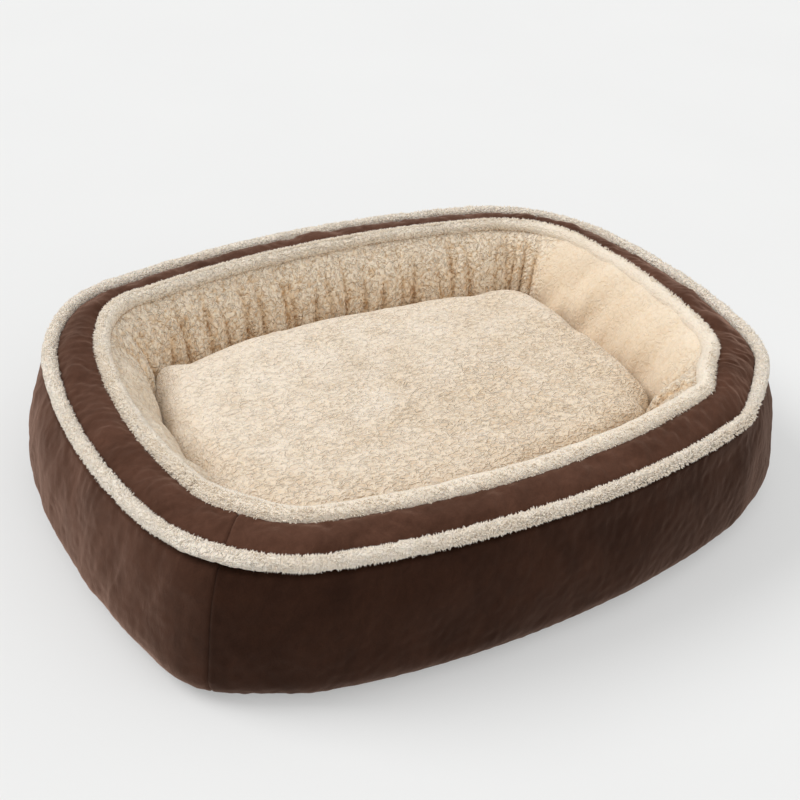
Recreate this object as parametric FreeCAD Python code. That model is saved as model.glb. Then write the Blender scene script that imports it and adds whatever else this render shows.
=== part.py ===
"""Bolster pet bed: a soft rim around a well, with a loose cushion that lifts out.

Millimetres, +Z up. The origin is on the floor under the middle of the bed, +X along the bed's long
axis and +Y towards its back. The rim is one cross-section carried round a plan outline of eight
tangent arcs: two long bowed sides, two short bowed sides and four corners. In a cross-section, u is
the distance outwards from the middle of the outer piping and z is the height above the floor.
"""
import FreeCAD, Part
import math
import os

# Plan of the outer piping's middle line
HALF_LENGTH = 330.0
HALF_WIDTH = 251.0
CORNER_RADIUS = 143.0
LONG_BOW_RADIUS = 871.0
SHORT_BOW_RADIUS = 529.0

# Heights above the floor
PIPING_Z = 130.0
WALL_BULGE_Z = 36.0
WALL_FOOT_Z = 6.5
LINING_BULGE_Z = 62.0
LINING_FOOT_Z = 17.0

# Cloth and padding thicknesses
SUEDE = 1.6
PILE = 4.0
BASE_CLOTH = 1.6
FLOOR_PAD = 12.0
COVER = 2.0
CLEARANCE = 0.3
SEAM_GAP_DEG = 0.12
TINY = 1e-6

# Outer wall, top band and trims, as distances u from the piping's middle line
WALL_BULGE_U = 24.0
WALL_TOP = (5.0, 121.2)
WALL_FOOT_U = 8.0
PIPING_RADIUS = 8.5
CORD_RADIUS = 4.0
CORD_SIDES = 12
PIPING_FLANGE = 12.5
PIPING_FLANGE_DEG = -135.0
FLANGE_HALF = 1.6
FLANGE_SLIT = 0.2
BAND_OUTER = (-8.8, 134.2)
BAND_INNER = (-38.1, 140.9)
BAND_CROWN = 3.0
LIP_CENTRE = (-49.5, 138.5)
LIP_RADIUS = 11.5
LIP_START_DEG = 16.0
LIP_END_DEG = 196.0
NOSE_END_DEG = -5.0
FILL_SHOULDER = 15.4
FILL_TOP_DEG = 20.3

# Lining on the well's side
LINING_TOP = (-60.4, 134.6)
LINING_BULGE_U = -92.5
LINING_FOOT_U = -76.0

# Binding rolled over the seam at the wall's foot, as distances in from the foot and heights
BINDING_TURN = 6.0
BINDING_EDGE = 1.7
BINDING_OUTER_BEND = (1.7, 2.7)
BINDING_INNER_BEND = (3.2, 3.9)

# Base
DOT_HEIGHT = 0.8
DOT_RADIUS = 3.5
DOT_PITCH = 42.0
DOT_MARGIN_U = -20.0
BASE_EDGE_U = 0.0
DECK_EDGE_U = -78.0

# Loose cushion
CUSHION_U = -94.3
CUSHION_BOTTOM_Z = 16.4
CUSHION_TOP_Z = 94.0
CUSHION_EDGE_RADIUS = 33.0
CUSHION_SEAM_Z = 54.0
CROWN_RADIUS = 2300.0
FILL_INSET = 1.0

# Zip in the cushion's back edge: angles about the lower edge's round, and along the back's arc
ZIP_TILT_DEG = -33.0
ZIP_HALF_DEG = 11.6
SLIDER_REST_DEG = -11.0
TAPE_WIDTH = 11.0
TAPE = 0.6
TAPE_DEPTH = 0.2
TAPE_GAP = 0.15
SLOT_HALF = 2.9
SLOT_END_DEG = 0.4
SLOT_OVERCUT = 1.0
COIL_HALF = 1.7
COIL_DEPTH = 0.1
COIL_GAP = 0.05
COIL_SUNK = 0.2
COIL_END_DEG = 0.25
SLIDER_LENGTH = 10.0
SLIDER_HALF = 4.2
SLIDER_PLATE = 1.1
SLIDER_LOW = 0.35
SLIDER_GAP = 0.35
SLIDER_LIP_FLOOR = -1.5
BAIL_HEIGHT = 3.6
BAIL_HALF = 0.8
BAIL_LENGTH = 5.0
BAIL_ROOF = 0.9
PULL_LENGTH = 18.0
PULL_HALF = 3.4
PULL_THICK = 1.3
PULL_GAP = 1.2
PIN_RADIUS = 0.65
EYE_RADIUS = 0.95
STOP_INSET_DEG = 0.1
STOP_HALF_LENGTH = 0.5
STOP_HALF_WIDTH = 2.2
STOP_FLOOR = -1.7
STOP_TOP = 0.1

Z_AXIS = FreeCAD.Vector(0, 0, 1)


def vec(x, y, z=0.0):
    return FreeCAD.Vector(x, y, z)


# ---------------------------------------------------------------- plan outline

def corner_centre():
    """The first quadrant's corner centre: where both bowed sides run tangent into the corner."""
    long_y = HALF_WIDTH - LONG_BOW_RADIUS
    short_x = HALF_LENGTH - SHORT_BOW_RADIUS
    from_long = LONG_BOW_RADIUS - CORNER_RADIUS
    from_short = SHORT_BOW_RADIUS - CORNER_RADIUS
    gap = math.hypot(short_x, long_y)
    along = (from_long ** 2 - from_short ** 2 + gap ** 2) / (2 * gap)
    across = math.sqrt(from_long ** 2 - along ** 2)
    ux, uy = short_x / gap, -long_y / gap
    return along * ux + across * uy, long_y + along * uy - across * ux


CORNER_X, CORNER_Y = corner_centre()
SHORT_DEG = math.degrees(math.atan2(CORNER_Y, CORNER_X - HALF_LENGTH + SHORT_BOW_RADIUS))
LONG_DEG = math.degrees(math.atan2(CORNER_Y - HALF_WIDTH + LONG_BOW_RADIUS, CORNER_X))
CORNER_MID_DEG = (SHORT_DEG + LONG_DEG) / 2


def plan_arcs():
    """The eight arcs as (first angle, last angle, centre, radius), anticlockwise from the east side."""
    east = HALF_LENGTH - SHORT_BOW_RADIUS
    north = HALF_WIDTH - LONG_BOW_RADIUS
    stops = [-SHORT_DEG, SHORT_DEG, LONG_DEG, 180 - LONG_DEG, 180 - SHORT_DEG,
             180 + SHORT_DEG, 180 + LONG_DEG, 360 - LONG_DEG, 360 - SHORT_DEG]
    centres = [(east, 0), (CORNER_X, CORNER_Y), (0, north), (-CORNER_X, CORNER_Y),
               (-east, 0), (-CORNER_X, -CORNER_Y), (0, -north), (CORNER_X, -CORNER_Y)]
    radii = [SHORT_BOW_RADIUS, CORNER_RADIUS, LONG_BOW_RADIUS, CORNER_RADIUS] * 2
    return list(zip(stops[:-1], stops[1:], centres, radii))


def plan_point(angle, centre, radius, u, z=0.0):
    turn = math.radians(angle)
    reach = radius + u
    return vec(centre[0] + reach * math.cos(turn), centre[1] + reach * math.sin(turn), z)


def plan_face(u, z):
    """The flat region inside the plan outline moved out by u, at height z."""
    edges = []
    for first, last, centre, radius in plan_arcs():
        angles = (first, (first + last) / 2, last)
        edges.append(Part.Arc(*[plan_point(a, centre, radius, u, z) for a in angles]).toShape())
    return Part.Face(Part.Wire(edges))


def plate(u, z, thickness):
    return plan_face(u, z).extrude(Z_AXIS * thickness)


# ---------------------------------------------------------------- cross-sections

def section(start, *steps):
    """A closed outline in (u, z): a step is a point for a line, or (middle, end) for an arc."""
    return [start] + list(steps)


def polar(centre, radius, degrees):
    turn = math.radians(degrees)
    return centre[0] + radius * math.cos(turn), centre[1] + radius * math.sin(turn)


def arc_step(centre, radius, first, last):
    return polar(centre, radius, (first + last) / 2), polar(centre, radius, last)


def section_face(outline, angle, centre, radius):
    """Stands an outline up in the vertical plane through an arc's centre at the given angle."""
    def place(point):
        return plan_point(angle, centre, radius, point[0], point[1])
    edges = []
    here = outline[0]
    for step in outline[1:] + [outline[0]]:
        if isinstance(step[0], tuple):
            middle, end = step
            edges.append(Part.Arc(place(here), place(middle), place(end)).toShape())
        else:
            end = step
            if math.dist(here, end) > TINY:
                edges.append(Part.LineSegment(place(here), place(end)).toShape())
        here = end
    return Part.Face(Part.Wire(edges))


def sweep(outline, first=-SHORT_DEG, last=360 - SHORT_DEG):
    """Carries a cross-section along the plan from one outward angle to another."""
    pieces = []
    for turn in (-360, 0, 360):
        for low, high, centre, radius in plan_arcs():
            begin = max(first, low + turn)
            end = min(last, high + turn)
            if end - begin > TINY:
                face = section_face(outline, begin, centre, radius)
                pieces.append(face.revolve(vec(centre[0], centre[1]), Z_AXIS, end - begin))
    if len(pieces) == 1:
        return pieces[0]
    return pieces[0].fuse(pieces[1:]).removeSplitter()


def bulge_centre(bulge, end, side):
    """Centre u and radius of an arc that stands vertical at bulge and passes through end."""
    du = side * (bulge[0] - end[0])
    dz = bulge[1] - end[1]
    radius = (du ** 2 + dz ** 2) / (2 * du)
    return (bulge[0] - side * radius, bulge[1]), radius


def angle_at(centre, point):
    return math.degrees(math.atan2(point[1] - centre[1], point[0] - centre[0]))


WALL_BULGE = (WALL_BULGE_U, WALL_BULGE_Z)
WALL_FOOT = (WALL_FOOT_U, WALL_FOOT_Z)
WALL_HIGH_CENTRE, WALL_HIGH_RADIUS = bulge_centre(WALL_BULGE, WALL_TOP, 1)
WALL_LOW_CENTRE, WALL_LOW_RADIUS = bulge_centre(WALL_BULGE, WALL_FOOT, 1)
WALL_TOP_DEG = angle_at(WALL_HIGH_CENTRE, WALL_TOP)
WALL_FOOT_DEG = angle_at(WALL_LOW_CENTRE, WALL_FOOT)

LINING_BULGE = (LINING_BULGE_U, LINING_BULGE_Z)
LINING_FOOT = (LINING_FOOT_U, LINING_FOOT_Z)
LINING_HIGH_CENTRE, LINING_HIGH_RADIUS = bulge_centre(LINING_BULGE, LINING_TOP, -1)
LINING_LOW_CENTRE, LINING_LOW_RADIUS = bulge_centre(LINING_BULGE, LINING_FOOT, -1)
LINING_TOP_DEG = angle_at(LINING_HIGH_CENTRE, LINING_TOP)
LINING_FOOT_DEG = angle_at(LINING_LOW_CENTRE, LINING_FOOT) + 360

BAND_MIDDLE = ((BAND_OUTER[0] + BAND_INNER[0]) / 2, (BAND_OUTER[1] + BAND_INNER[1]) / 2 + BAND_CROWN)


def lowered(point, drop):
    return point[0], point[1] - drop


def wall_section():
    """Suede side wall: bulges below the piping and tucks in towards the floor."""
    high = WALL_HIGH_RADIUS - SUEDE
    low = WALL_LOW_RADIUS - SUEDE
    return section(
        WALL_TOP,
        arc_step(WALL_HIGH_CENTRE, WALL_HIGH_RADIUS, WALL_TOP_DEG, 0),
        arc_step(WALL_LOW_CENTRE, WALL_LOW_RADIUS, 0, WALL_FOOT_DEG),
        polar(WALL_LOW_CENTRE, low, WALL_FOOT_DEG),
        arc_step(WALL_LOW_CENTRE, low, WALL_FOOT_DEG, 0),
        arc_step(WALL_HIGH_CENTRE, high, 0, WALL_TOP_DEG),
    )


def band_section():
    """Suede top band, a shallow crown between the outer piping and the inner lip."""
    return section(
        BAND_OUTER,
        (BAND_MIDDLE, BAND_INNER),
        lowered(BAND_INNER, SUEDE),
        (lowered(BAND_MIDDLE, SUEDE), lowered(BAND_OUTER, SUEDE)),
    )


def flange_frame(along, across):
    """A point in the piping's section, along its flange and across it."""
    turn = math.radians(PIPING_FLANGE_DEG)
    u = along * math.cos(turn) - across * math.sin(turn)
    z = PIPING_Z + along * math.sin(turn) + across * math.cos(turn)
    return u, z


def piping_section():
    """Pile cover wrapped round the cord, its two edges run inwards as a sewn flange."""
    inner = CORD_RADIUS + CLEARANCE
    outer_start = math.sqrt(PIPING_RADIUS ** 2 - FLANGE_HALF ** 2)
    inner_start = math.sqrt(inner ** 2 - FLANGE_SLIT ** 2)
    return section(
        flange_frame(outer_start, FLANGE_HALF),
        (flange_frame(-PIPING_RADIUS, 0), flange_frame(outer_start, -FLANGE_HALF)),
        flange_frame(PIPING_FLANGE, -FLANGE_HALF),
        flange_frame(PIPING_FLANGE, -FLANGE_SLIT),
        flange_frame(inner_start, -FLANGE_SLIT),
        (flange_frame(-inner, 0), flange_frame(inner_start, FLANGE_SLIT)),
        flange_frame(PIPING_FLANGE, FLANGE_SLIT),
        flange_frame(PIPING_FLANGE, FLANGE_HALF),
    )


def cord_section():
    """Twisted cord, with one flat for each strand."""
    step = 360 / CORD_SIDES
    return section(*[polar((0.0, PIPING_Z), CORD_RADIUS, step * side) for side in range(CORD_SIDES)])


def lip_section():
    """Short-pile roll over the rim's inner edge."""
    inner = LIP_RADIUS - PILE
    return section(
        polar(LIP_CENTRE, LIP_RADIUS, LIP_START_DEG),
        arc_step(LIP_CENTRE, LIP_RADIUS, LIP_START_DEG, LIP_END_DEG),
        polar(LIP_CENTRE, inner, LIP_END_DEG),
        arc_step(LIP_CENTRE, inner, LIP_END_DEG, LIP_START_DEG),
    )


def lining_section():
    """Pile lining from the lip down to the deck, fullest where it meets the cushion."""
    high = LINING_HIGH_RADIUS - PILE
    low = LINING_LOW_RADIUS - PILE
    return section(
        LINING_TOP,
        arc_step(LINING_HIGH_CENTRE, LINING_HIGH_RADIUS, LINING_TOP_DEG, 180),
        arc_step(LINING_LOW_CENTRE, LINING_LOW_RADIUS, 180, LINING_FOOT_DEG),
        polar(LINING_LOW_CENTRE, low, LINING_FOOT_DEG),
        arc_step(LINING_LOW_CENTRE, low, LINING_FOOT_DEG, 180),
        arc_step(LINING_HIGH_CENTRE, high, 180, LINING_TOP_DEG),
    )


def fill_section():
    """Fibre filling: the rim's whole inside, a small clearance off every skin."""
    wall_high = WALL_HIGH_RADIUS - SUEDE - CLEARANCE
    wall_low = WALL_LOW_RADIUS - SUEDE - CLEARANCE
    lining_high = LINING_HIGH_RADIUS - PILE - CLEARANCE
    lining_low = LINING_LOW_RADIUS - PILE - CLEARANCE
    nose = LIP_RADIUS - PILE - CLEARANCE
    shoulder = (BAND_OUTER[0] - FILL_SHOULDER, BAND_OUTER[1] - SUEDE - CLEARANCE)
    foot_z = BASE_CLOTH + CLEARANCE
    return section(
        polar(WALL_HIGH_CENTRE, wall_high, FILL_TOP_DEG),
        arc_step(WALL_HIGH_CENTRE, wall_high, FILL_TOP_DEG, 0),
        arc_step(WALL_LOW_CENTRE, wall_low, 0, WALL_FOOT_DEG),
        (BASE_EDGE_U, foot_z),
        (DECK_EDGE_U + CLEARANCE, foot_z),
        polar(LINING_LOW_CENTRE, lining_low, LINING_FOOT_DEG),
        arc_step(LINING_LOW_CENTRE, lining_low, LINING_FOOT_DEG, 180),
        arc_step(LINING_HIGH_CENTRE, lining_high, 180, LINING_TOP_DEG),
        polar(LIP_CENTRE, nose, LIP_END_DEG),
        arc_step(LIP_CENTRE, nose, LIP_END_DEG, NOSE_END_DEG),
        shoulder,
    )


def binding_section():
    """Folded tape that closes the seam between wall and base, just above the floor."""
    top = WALL_FOOT_Z - CLEARANCE
    turn_u = WALL_FOOT_U - BINDING_TURN
    outer_bend = (WALL_FOOT_U - BINDING_OUTER_BEND[0], BINDING_OUTER_BEND[1])
    inner_bend = (WALL_FOOT_U - BINDING_INNER_BEND[0], BINDING_INNER_BEND[1])
    edge_u = BASE_EDGE_U + CLEARANCE
    return section(
        (WALL_FOOT_U, top),
        (outer_bend, (turn_u, 0.0)),
        (edge_u, 0.0),
        (edge_u, BASE_CLOTH),
        (turn_u, BASE_CLOTH),
        (inner_bend, (WALL_FOOT_U - BINDING_EDGE, top)),
    )


# ---------------------------------------------------------------- base

def plan_contains(x, y, u):
    """True where a point is inside the plan outline moved out by u."""
    x, y = abs(x), abs(y)
    past_corner = x > CORNER_X and y > CORNER_Y
    corner_gap = math.hypot(x - CORNER_X, y - CORNER_Y)
    if past_corner and corner_gap > CORNER_RADIUS + u:
        return False
    in_long = math.hypot(x, y - HALF_WIDTH + LONG_BOW_RADIUS) < LONG_BOW_RADIUS + u
    in_short = math.hypot(x - HALF_LENGTH + SHORT_BOW_RADIUS, y) < SHORT_BOW_RADIUS + u
    return in_long and in_short


def grip_dots():
    """Dots moulded into the base cloth in staggered rows, one of them on the origin."""
    dots = []
    row_step = DOT_PITCH * math.sqrt(3) / 2
    rows = int(HALF_WIDTH // row_step)
    columns = int(HALF_LENGTH // DOT_PITCH) + 1
    for row in range(-rows, rows + 1):
        shift = DOT_PITCH / 2 if row % 2 else 0.0
        for column in range(-columns, columns + 1):
            x = column * DOT_PITCH + shift
            y = row * row_step
            if plan_contains(x, y, DOT_MARGIN_U):
                dots.append(Part.makeCylinder(DOT_RADIUS, DOT_HEIGHT, vec(x, y)))
    return Part.makeCompound(dots)


def base_panel(dots):
    """Base cloth, with the dots sunk into its underside."""
    return plate(BASE_EDGE_U, 0.0, BASE_CLOTH).cut(dots)


def floor_pad():
    return plate(DECK_EDGE_U, BASE_CLOTH + CLEARANCE, FLOOR_PAD - CLEARANCE)


def deck_panel():
    return plate(DECK_EDGE_U, BASE_CLOTH + FLOOR_PAD + CLEARANCE, SUEDE)


# ---------------------------------------------------------------- loose cushion

def cushion_body(inset):
    """The cushion's rounded, crowned form, shrunk by inset on every face."""
    edge = CUSHION_EDGE_RADIUS - inset
    side_u = CUSHION_U - inset
    bottom = CUSHION_BOTTOM_Z + inset
    shoulder = CUSHION_TOP_Z - inset
    core_u = side_u - edge
    low = (core_u, bottom + edge)
    high = (core_u, shoulder - edge)
    rim = sweep(section(
        (core_u, bottom),
        arc_step(low, edge, -90, 0),
        (side_u, shoulder - edge),
        arc_step(high, edge, 0, 90),
    ))
    core = plate(core_u, bottom, shoulder - bottom)
    crown_z = CUSHION_TOP_Z - inset - CROWN_RADIUS
    crown = Part.makeSphere(CROWN_RADIUS, vec(0, 0, crown_z))
    return rim.fuse(core).removeSplitter().common(crown)


def half_space(top):
    """A block above or below the cushion's seam."""
    size = 2 * HALF_LENGTH
    z = CUSHION_SEAM_Z if top else CUSHION_SEAM_Z - size
    return Part.makeBox(size, size, size, vec(-HALF_LENGTH, -HALF_LENGTH, z))


def cushion_cover(top):
    shell = cushion_body(0.0).cut(cushion_body(COVER))
    half = shell.common(half_space(top))
    if top:
        return half
    slot_deg = math.degrees(SLOT_HALF / CUSHION_EDGE_RADIUS)
    slot = zip_band(CUSHION_EDGE_RADIUS - COVER - CLEARANCE, CUSHION_EDGE_RADIUS + SLOT_OVERCUT,
                    -slot_deg, slot_deg, ZIP_HALF_DEG + SLOT_END_DEG)
    return half.cut(slot)


def cushion_fill():
    return cushion_body(COVER + FILL_INSET)


# ---------------------------------------------------------------- zip

EDGE_CENTRE = (CUSHION_U - CUSHION_EDGE_RADIUS, CUSHION_BOTTOM_Z + CUSHION_EDGE_RADIUS)
BACK_CENTRE = (0.0, HALF_WIDTH - LONG_BOW_RADIUS)


def back_sweep(outline, first, last):
    """Carries a cross-section along the back's arc, in degrees either side of its middle."""
    face = section_face(outline, 90 - last, BACK_CENTRE, LONG_BOW_RADIUS)
    return face.revolve(vec(*BACK_CENTRE), Z_AXIS, last - first)


def zip_band(inner, outer, low_deg, high_deg, half_span):
    """A band on the cushion's lower edge, between two radii and two angles about the zip's line."""
    low = ZIP_TILT_DEG + low_deg
    high = ZIP_TILT_DEG + high_deg
    outline = section(
        polar(EDGE_CENTRE, outer, low),
        arc_step(EDGE_CENTRE, outer, low, high),
        polar(EDGE_CENTRE, inner, high),
        arc_step(EDGE_CENTRE, inner, high, low),
    )
    return back_sweep(outline, -half_span, half_span)


def zip_tape(side):
    """One woven tape, under the cover's edge. side is +1 for the upper tape, -1 for the lower."""
    outer = CUSHION_EDGE_RADIUS - COVER - TAPE_DEPTH
    near = math.degrees(TAPE_GAP / outer)
    far = math.degrees(TAPE_WIDTH / outer)
    angles = sorted((side * near, side * far))
    return zip_band(outer - TAPE, outer, angles[0], angles[1], ZIP_HALF_DEG)


def zip_coil(side):
    """One row of the coil, sewn to its tape and standing in the slot of the cover."""
    inner = CUSHION_EDGE_RADIUS - COVER - COIL_DEPTH
    outer = CUSHION_EDGE_RADIUS - COIL_SUNK
    near = math.degrees(COIL_GAP / inner)
    far = math.degrees(COIL_HALF / inner)
    angles = sorted((side * near, side * far))
    return zip_band(inner, outer, angles[0], angles[1], ZIP_HALF_DEG - COIL_END_DEG)


def zip_point(height, across):
    """A point in the zip's section: height out from the cushion's skin, across up the section."""
    turn = math.radians(ZIP_TILT_DEG)
    reach = CUSHION_EDGE_RADIUS + height
    u = EDGE_CENTRE[0] + reach * math.cos(turn) - across * math.sin(turn)
    z = EDGE_CENTRE[1] + reach * math.sin(turn) + across * math.cos(turn)
    return u, z


def zip_place(angle, along, height, across):
    """A point by the slider: along the back's arc tangent, out from the skin, and up the section."""
    u, z = zip_point(height, across)
    turn = math.radians(90 - angle)
    reach = LONG_BOW_RADIUS + u
    x = BACK_CENTRE[0] + reach * math.cos(turn) + along * math.sin(turn)
    y = BACK_CENTRE[1] + reach * math.sin(turn) - along * math.cos(turn)
    return vec(x, y, z)


def zip_direction(angle, along, height, across):
    return zip_place(angle, along, height, across) - zip_place(angle, 0, 0, 0)


def block(angle, along, height, across):
    """A straight block by the slider, from three (low, high) ranges."""
    corners = [zip_place(angle, along[0], height[0], a) for a in across]
    corners += [zip_place(angle, along[0], height[1], a) for a in reversed(across)]
    face = Part.Face(Part.makePolygon(corners + corners[:1]))
    return face.extrude(zip_direction(angle, along[1] - along[0], 0, 0))


BAIL_BASE = SLIDER_LOW + SLIDER_PLATE
PIN_HEIGHT = BAIL_BASE + BAIL_HEIGHT - EYE_RADIUS - BAIL_ROOF


def zip_slider():
    """Slider: a plate over the coil, a lip each side of it, and a bail with the pull's eye."""
    angle = SLIDER_REST_DEG
    half = SLIDER_LENGTH / 2
    body = block(angle, (-half, half), (SLIDER_LOW, BAIL_BASE), (-SLIDER_HALF, SLIDER_HALF))
    for side in (-1, 1):
        lip = sorted((side * (COIL_HALF + SLIDER_GAP), side * (SLOT_HALF - SLIDER_GAP)))
        body = body.fuse(block(angle, (-half, half), (SLIDER_LIP_FLOOR, SLIDER_LOW), lip))
    bail = block(angle, (-BAIL_LENGTH / 2, BAIL_LENGTH / 2), (BAIL_BASE, BAIL_BASE + BAIL_HEIGHT),
                 (-BAIL_HALF, BAIL_HALF))
    eye = Part.makeCylinder(EYE_RADIUS, 4 * BAIL_HALF, zip_place(angle, 0, PIN_HEIGHT, -2 * BAIL_HALF),
                            zip_direction(angle, 0, 0, 1))
    return body.fuse(bail).removeSplitter().cut(eye)


def zip_pull():
    """Pull: a flat tab on two arms, with the pin that runs through the slider's eye."""
    angle = SLIDER_REST_DEG
    half_t = PULL_THICK / 2
    height = (PIN_HEIGHT - half_t, PIN_HEIGHT + half_t)
    arm_in = BAIL_HALF + SLIDER_GAP
    reach = BAIL_LENGTH / 2 + PULL_GAP
    pin = Part.makeCylinder(PIN_RADIUS, 2 * PULL_HALF, zip_place(angle, 0, PIN_HEIGHT, -PULL_HALF),
                            zip_direction(angle, 0, 0, 1))
    tab = block(angle, (reach, PULL_LENGTH), height, (-PULL_HALF, PULL_HALF))
    arms = []
    for side in (-1, 1):
        across = sorted((side * arm_in, side * PULL_HALF))
        arms.append(block(angle, (-half_t, reach), height, across))
    return tab.fuse(arms + [pin]).removeSplitter()


def zip_stops():
    """Crimped metal stops across both ends of the coil."""
    stops = []
    for end in (-1, 1):
        angle = end * (ZIP_HALF_DEG - STOP_INSET_DEG)
        stops.append(block(angle, (-STOP_HALF_LENGTH, STOP_HALF_LENGTH), (STOP_FLOOR, STOP_TOP),
                           (-STOP_HALF_WIDTH, STOP_HALF_WIDTH)))
    return Part.makeCompound(stops)


# ---------------------------------------------------------------- assembly

def half_ring(outline, start):
    """Half of the rim, between the seams at two opposite corners."""
    return sweep(outline, start + SEAM_GAP_DEG, start + 180 - SEAM_GAP_DEG)


def side_run(outline, side):
    """One side of the rim between two corners, with the side's outward angle in degrees."""
    reach = CORNER_MID_DEG if side % 180 == 0 else 90 - CORNER_MID_DEG
    return sweep(outline, side - reach + SEAM_GAP_DEG, side + reach - SEAM_GAP_DEG)


def build():
    front_seam = 180 + CORNER_MID_DEG
    dots = grip_dots()
    nodes = {
        "side_wall_front": half_ring(wall_section(), front_seam),
        "side_wall_back": half_ring(wall_section(), CORNER_MID_DEG),
        "top_band_front": half_ring(band_section(), front_seam),
        "top_band_back": half_ring(band_section(), CORNER_MID_DEG),
        "outer_piping_cover": sweep(piping_section()),
        "outer_piping_cord": sweep(cord_section()),
        "inner_lip": sweep(lip_section()),
        "base_binding": sweep(binding_section()),
        "base_panel": base_panel(dots),
        "grip_dots": dots,
        "floor_pad": floor_pad(),
        "deck_panel": deck_panel(),
        "cushion_cover_top": cushion_cover(True),
        "cushion_cover_bottom": cushion_cover(False),
        "cushion_fill": cushion_fill(),
        "zip_tape_upper": zip_tape(1),
        "zip_tape_lower": zip_tape(-1),
        "zip_coil_upper": zip_coil(1),
        "zip_coil_lower": zip_coil(-1),
        "zip_stops": zip_stops(),
        "zip_slider": zip_slider(),
        "zip_pull": zip_pull(),
    }
    for name, side in (("right", 0), ("back", 90), ("left", 180), ("front", 270)):
        nodes["lining_" + name] = side_run(lining_section(), side)
        nodes["bolster_fill_" + name] = side_run(fill_section(), side)
    return nodes


def main():
    os.makedirs("parts", exist_ok=True)
    for name, shape in build().items():
        solids = shape.Solids
        print(f"{name:22s} solids {len(solids):3d}  valid {shape.isValid()}  {shape.Volume / 1000:9.2f} cm3")
        whole = solids[0] if len(solids) == 1 else Part.makeCompound(solids)
        whole.exportStep(f"parts/{name}.step")
    pivot = zip_place(SLIDER_REST_DEG, 0, PIN_HEIGHT, 0)
    axis = zip_direction(SLIDER_REST_DEG, 0, 0, 1)
    print("pull pivot", [round(c / 1000, 7) for c in pivot], "axis", [round(c, 6) for c in axis])
    print("back arc centre", [c / 1000 for c in BACK_CENTRE], "long side half angle", 90 - LONG_DEG)
    print("corner centre", CORNER_X, CORNER_Y, "corner middle", CORNER_MID_DEG)


main()
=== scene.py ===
"""The looks of a bolster pet bed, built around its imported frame: suede outside, sherpa inside.

The rim is one cross-section carried round a plan of eight tangent arcs. In a cross-section, u is the
distance outwards from the middle of the outer piping and z the height above the floor. A profile runs
up the outside, over the top and down into the well, so that its cloth faces outwards. All in metres.
"""
import math
import bpy
import numpy as np
from mathutils import Matrix, Vector


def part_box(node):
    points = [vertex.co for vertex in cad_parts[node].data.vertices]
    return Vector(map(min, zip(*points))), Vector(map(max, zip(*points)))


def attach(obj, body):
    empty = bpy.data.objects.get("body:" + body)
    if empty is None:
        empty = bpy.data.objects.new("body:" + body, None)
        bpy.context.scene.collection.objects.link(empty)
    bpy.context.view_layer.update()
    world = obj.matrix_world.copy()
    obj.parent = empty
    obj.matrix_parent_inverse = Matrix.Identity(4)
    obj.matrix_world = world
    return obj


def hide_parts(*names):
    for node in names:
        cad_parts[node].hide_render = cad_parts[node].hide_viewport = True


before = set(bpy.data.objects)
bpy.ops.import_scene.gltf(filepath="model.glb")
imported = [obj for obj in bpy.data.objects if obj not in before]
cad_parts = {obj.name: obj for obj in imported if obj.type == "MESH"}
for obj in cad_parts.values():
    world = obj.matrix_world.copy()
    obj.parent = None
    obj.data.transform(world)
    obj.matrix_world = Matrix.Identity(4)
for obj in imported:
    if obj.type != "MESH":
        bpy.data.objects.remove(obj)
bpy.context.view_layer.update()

# ---------------------------------------------------------------- sizes

CORD_LOW, CORD_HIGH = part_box("outer_piping_cord")
CORD_RADIUS = (CORD_HIGH.z - CORD_LOW.z) / 2
PIPING_Z = (CORD_HIGH.z + CORD_LOW.z) / 2
HALF_LENGTH = CORD_HIGH.x - CORD_RADIUS
HALF_WIDTH = CORD_HIGH.y - CORD_RADIUS
PIPING_ROLL = CORD_RADIUS + 0.0014
PIPING_CENTRE = (0.0, PIPING_Z + 0.002)
CORNER_RADIUS = 0.143
LONG_BOW_RADIUS = 0.871
SHORT_BOW_RADIUS = 0.529

WALL_BULGE = (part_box("side_wall_front")[1].x - HALF_LENGTH, 0.03)
WALL_TOP = (0.005, 0.1212)
WALL_FOOT = (0.0125, 0.0045)
BAND_OUTER = (-0.0088, 0.1337)
BAND_INNER = (-0.0381, 0.1409)
BAND_CROWN = 0.0045
LIP_CENTRE = (-0.0477, 0.1392)
LIP_RADIUS = 0.0086
LINING_TOP = (-0.0525, 0.1372)
LINING_TOP_RIGHT = (-0.0497, 0.1458)
LINING_BULGE = (-0.0925, 0.062)
LINING_FOOT = (-0.076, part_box("lining_back")[0].z)

COVER = 0.002
CUSHION_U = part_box("cushion_fill")[1].x + COVER - HALF_LENGTH
CUSHION_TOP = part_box("cushion_cover_top")[1].z
CUSHION_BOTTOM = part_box("cushion_cover_bottom")[0].z
CUSHION_SEAM_Z = 0.054


# ---------------------------------------------------------------- plan and cross-sections

def corner_centre():
    """The first quadrant's corner centre, where both bowed sides run tangent into the corner."""
    long_y = HALF_WIDTH - LONG_BOW_RADIUS
    short_x = HALF_LENGTH - SHORT_BOW_RADIUS
    from_long = LONG_BOW_RADIUS - CORNER_RADIUS
    from_short = SHORT_BOW_RADIUS - CORNER_RADIUS
    gap = math.hypot(short_x, long_y)
    along = (from_long ** 2 - from_short ** 2 + gap ** 2) / (2 * gap)
    across = math.sqrt(from_long ** 2 - along ** 2)
    ux, uy = short_x / gap, -long_y / gap
    return along * ux + across * uy, long_y + along * uy - across * ux


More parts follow.
